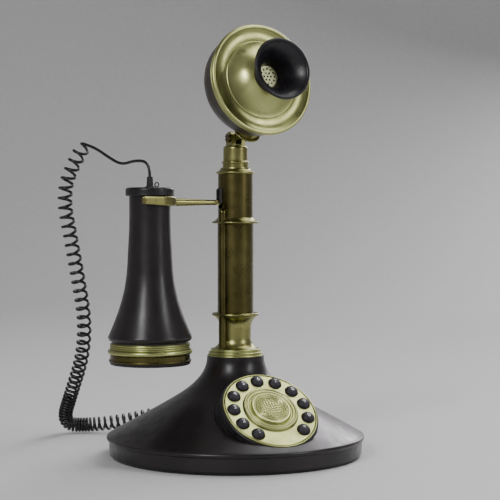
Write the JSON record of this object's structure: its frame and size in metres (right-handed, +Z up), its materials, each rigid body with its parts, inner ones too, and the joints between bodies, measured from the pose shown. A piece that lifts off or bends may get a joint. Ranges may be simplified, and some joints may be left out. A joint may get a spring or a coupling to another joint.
{
  "type": "candlestick telephone",
  "caption": "Antique-style candlestick telephone: flared base with push-button dial, tilting transmitter, receiver on a forked switch hook, curly cord.",
  "frame": {"origin": "centre of the felt foot on the table, on the column's axis", "axes": "+Z up along the column, -Y towards the user (dial and mouthpiece face -Y), -X towards the receiver and its hook"},
  "size_m": [0.1918, 0.2424, 0.2972],
  "materials": {
    "black_lacquer": "satin black lacquer, faintly purple-brown",
    "black_bezel": "black moulded plastic",
    "brass": "pale antique brass, satin",
    "brass_dark": "aged olive brass, satin",
    "key_plastic": "dark grey plastic",
    "bakelite": "black bakelite, polished",
    "cup_bronze": "dark bronze lacquer",
    "grille": "pale perforated metal",
    "steel": "brushed steel",
    "cast_weight": "rough cast",
    "felt": "green felt",
    "rubber": "soft rubber",
    "board": "green circuit board",
    "inner_plastic": "black plastic",
    "cord": "glossy black cord jacket"
  },
  "bodies": {
    "stand": {"base_shell": "black_lacquer", "bottom_plate": "steel", "felt_foot": "felt", "bottom_screws": "steel", "ballast_weight": "cast_weight", "main_board": "board", "ringer": "inner_plastic", "line_jack": "inner_plastic", "cord_gland": "rubber", "dial_bezel": "black_bezel", "dial_rim": "brass", "dial_faceplate": "brass", "dial_medallion": "brass", "keypad_membrane": "rubber", "keypad_board": "board", "keypad_screws": "steel", "base_collar": "brass", "pedestal": "brass_dark", "column_tube": "brass_dark", "mid_ring": "brass_dark", "side_rod": "brass_dark", "switch_barrel": "brass_dark", "shoulder_cap": "brass_dark", "neck_post": "brass_dark", "tie_tube": "steel", "tie_nuts": "steel", "tilt_pin": "brass_dark", "hook_pin": "steel", "switch_contacts": "inner_plastic", "cord_ends": "cord", "cord_coil": "cord"},
    "hook": {"hook_lever": "brass"},
    "receiver": {"receiver_shell": "black_lacquer", "receiver_cap": "black_bezel", "strain_relief": "rubber", "ear_ring_upper": "brass", "ear_ring_lower": "brass_dark", "ear_cap": "bakelite", "ear_plate": "steel", "speaker_capsule": "inner_plastic", "receiver_weight": "cast_weight"},
    "transmitter": {"transmitter_cup": "cup_bronze", "transmitter_face": "brass", "face_cone": "brass", "mouthpiece": "bakelite", "mic_grille": "grille", "microphone_capsule": "inner_plastic", "tilt_bracket": "brass_dark", "bracket_screws": "brass_dark"},
    "button_1": {"key_1": "key_plastic"},
    "button_2": {"key_2": "key_plastic"},
    "button_3": {"key_3": "key_plastic"},
    "button_4": {"key_4": "key_plastic"},
    "button_5": {"key_5": "key_plastic"},
    "button_6": {"key_6": "key_plastic"},
    "button_7": {"key_7": "key_plastic"},
    "button_8": {"key_8": "key_plastic"},
    "button_9": {"key_9": "key_plastic"},
    "button_0": {"key_0": "key_plastic"},
    "button_redial": {"key_redial": "key_plastic"}
  },
  "joints": [
    {"name": "transmitter_tilt", "type": "hinge", "parent": "stand", "child": "transmitter", "pos_m": [0, 0, 0.2215], "axis": [1, 0, 0], "range_deg": [-20, 25]},
    {"name": "receiver_lift", "type": "slide", "parent": "stand", "child": "receiver", "axis": [-0.5, 0, 0.866], "range_m": [0, 0.06], "deforming": ["cord_ends", "cord_coil"]},
    {"name": "hook_pivot", "type": "hinge", "parent": "stand", "child": "hook", "pos_m": [0.004, 0, 0.1765], "axis": [0, 1, 0], "range_deg": [0, 12.1]},
    {"name": "key_1_press", "type": "slide", "parent": "stand", "child": "button_1", "axis": [0.0672, 0.6393, -0.766], "range_m": [0, 0.0015], "stiffness_N_per_m": 300},
    {"name": "key_2_press", "type": "slide", "parent": "stand", "child": "button_2", "axis": [0.0672, 0.6393, -0.766], "range_m": [0, 0.0015], "stiffness_N_per_m": 300},
    {"name": "key_3_press", "type": "slide", "parent": "stand", "child": "button_3", "axis": [0.0672, 0.6393, -0.766], "range_m": [0, 0.0015], "stiffness_N_per_m": 300},
    {"name": "key_4_press", "type": "slide", "parent": "stand", "child": "button_4", "axis": [0.0672, 0.6393, -0.766], "range_m": [0, 0.0015], "stiffness_N_per_m": 300},
    {"name": "key_5_press", "type": "slide", "parent": "stand", "child": "button_5", "axis": [0.0672, 0.6393, -0.766], "range_m": [0, 0.0015], "stiffness_N_per_m": 300},
    {"name": "key_6_press", "type": "slide", "parent": "stand", "child": "button_6", "axis": [0.0672, 0.6393, -0.766], "range_m": [0, 0.0015], "stiffness_N_per_m": 300},
    {"name": "key_7_press", "type": "slide", "parent": "stand", "child": "button_7", "axis": [0.0672, 0.6393, -0.766], "range_m": [0, 0.0015], "stiffness_N_per_m": 300},
    {"name": "key_8_press", "type": "slide", "parent": "stand", "child": "button_8", "axis": [0.0672, 0.6393, -0.766], "range_m": [0, 0.0015], "stiffness_N_per_m": 300},
    {"name": "key_9_press", "type": "slide", "parent": "stand", "child": "button_9", "axis": [0.0672, 0.6393, -0.766], "range_m": [0, 0.0015], "stiffness_N_per_m": 300},
    {"name": "key_0_press", "type": "slide", "parent": "stand", "child": "button_0", "axis": [0.0672, 0.6393, -0.766], "range_m": [0, 0.0015], "stiffness_N_per_m": 300},
    {"name": "key_redial_press", "type": "slide", "parent": "stand", "child": "button_redial", "axis": [0.0672, 0.6393, -0.766], "range_m": [0, 0.0015], "stiffness_N_per_m": 300}
  ],
  "couplings": [
    {"joint": "hook_pivot", "follows": "receiver_lift", "rad_per_m": 3.5}
  ]
}
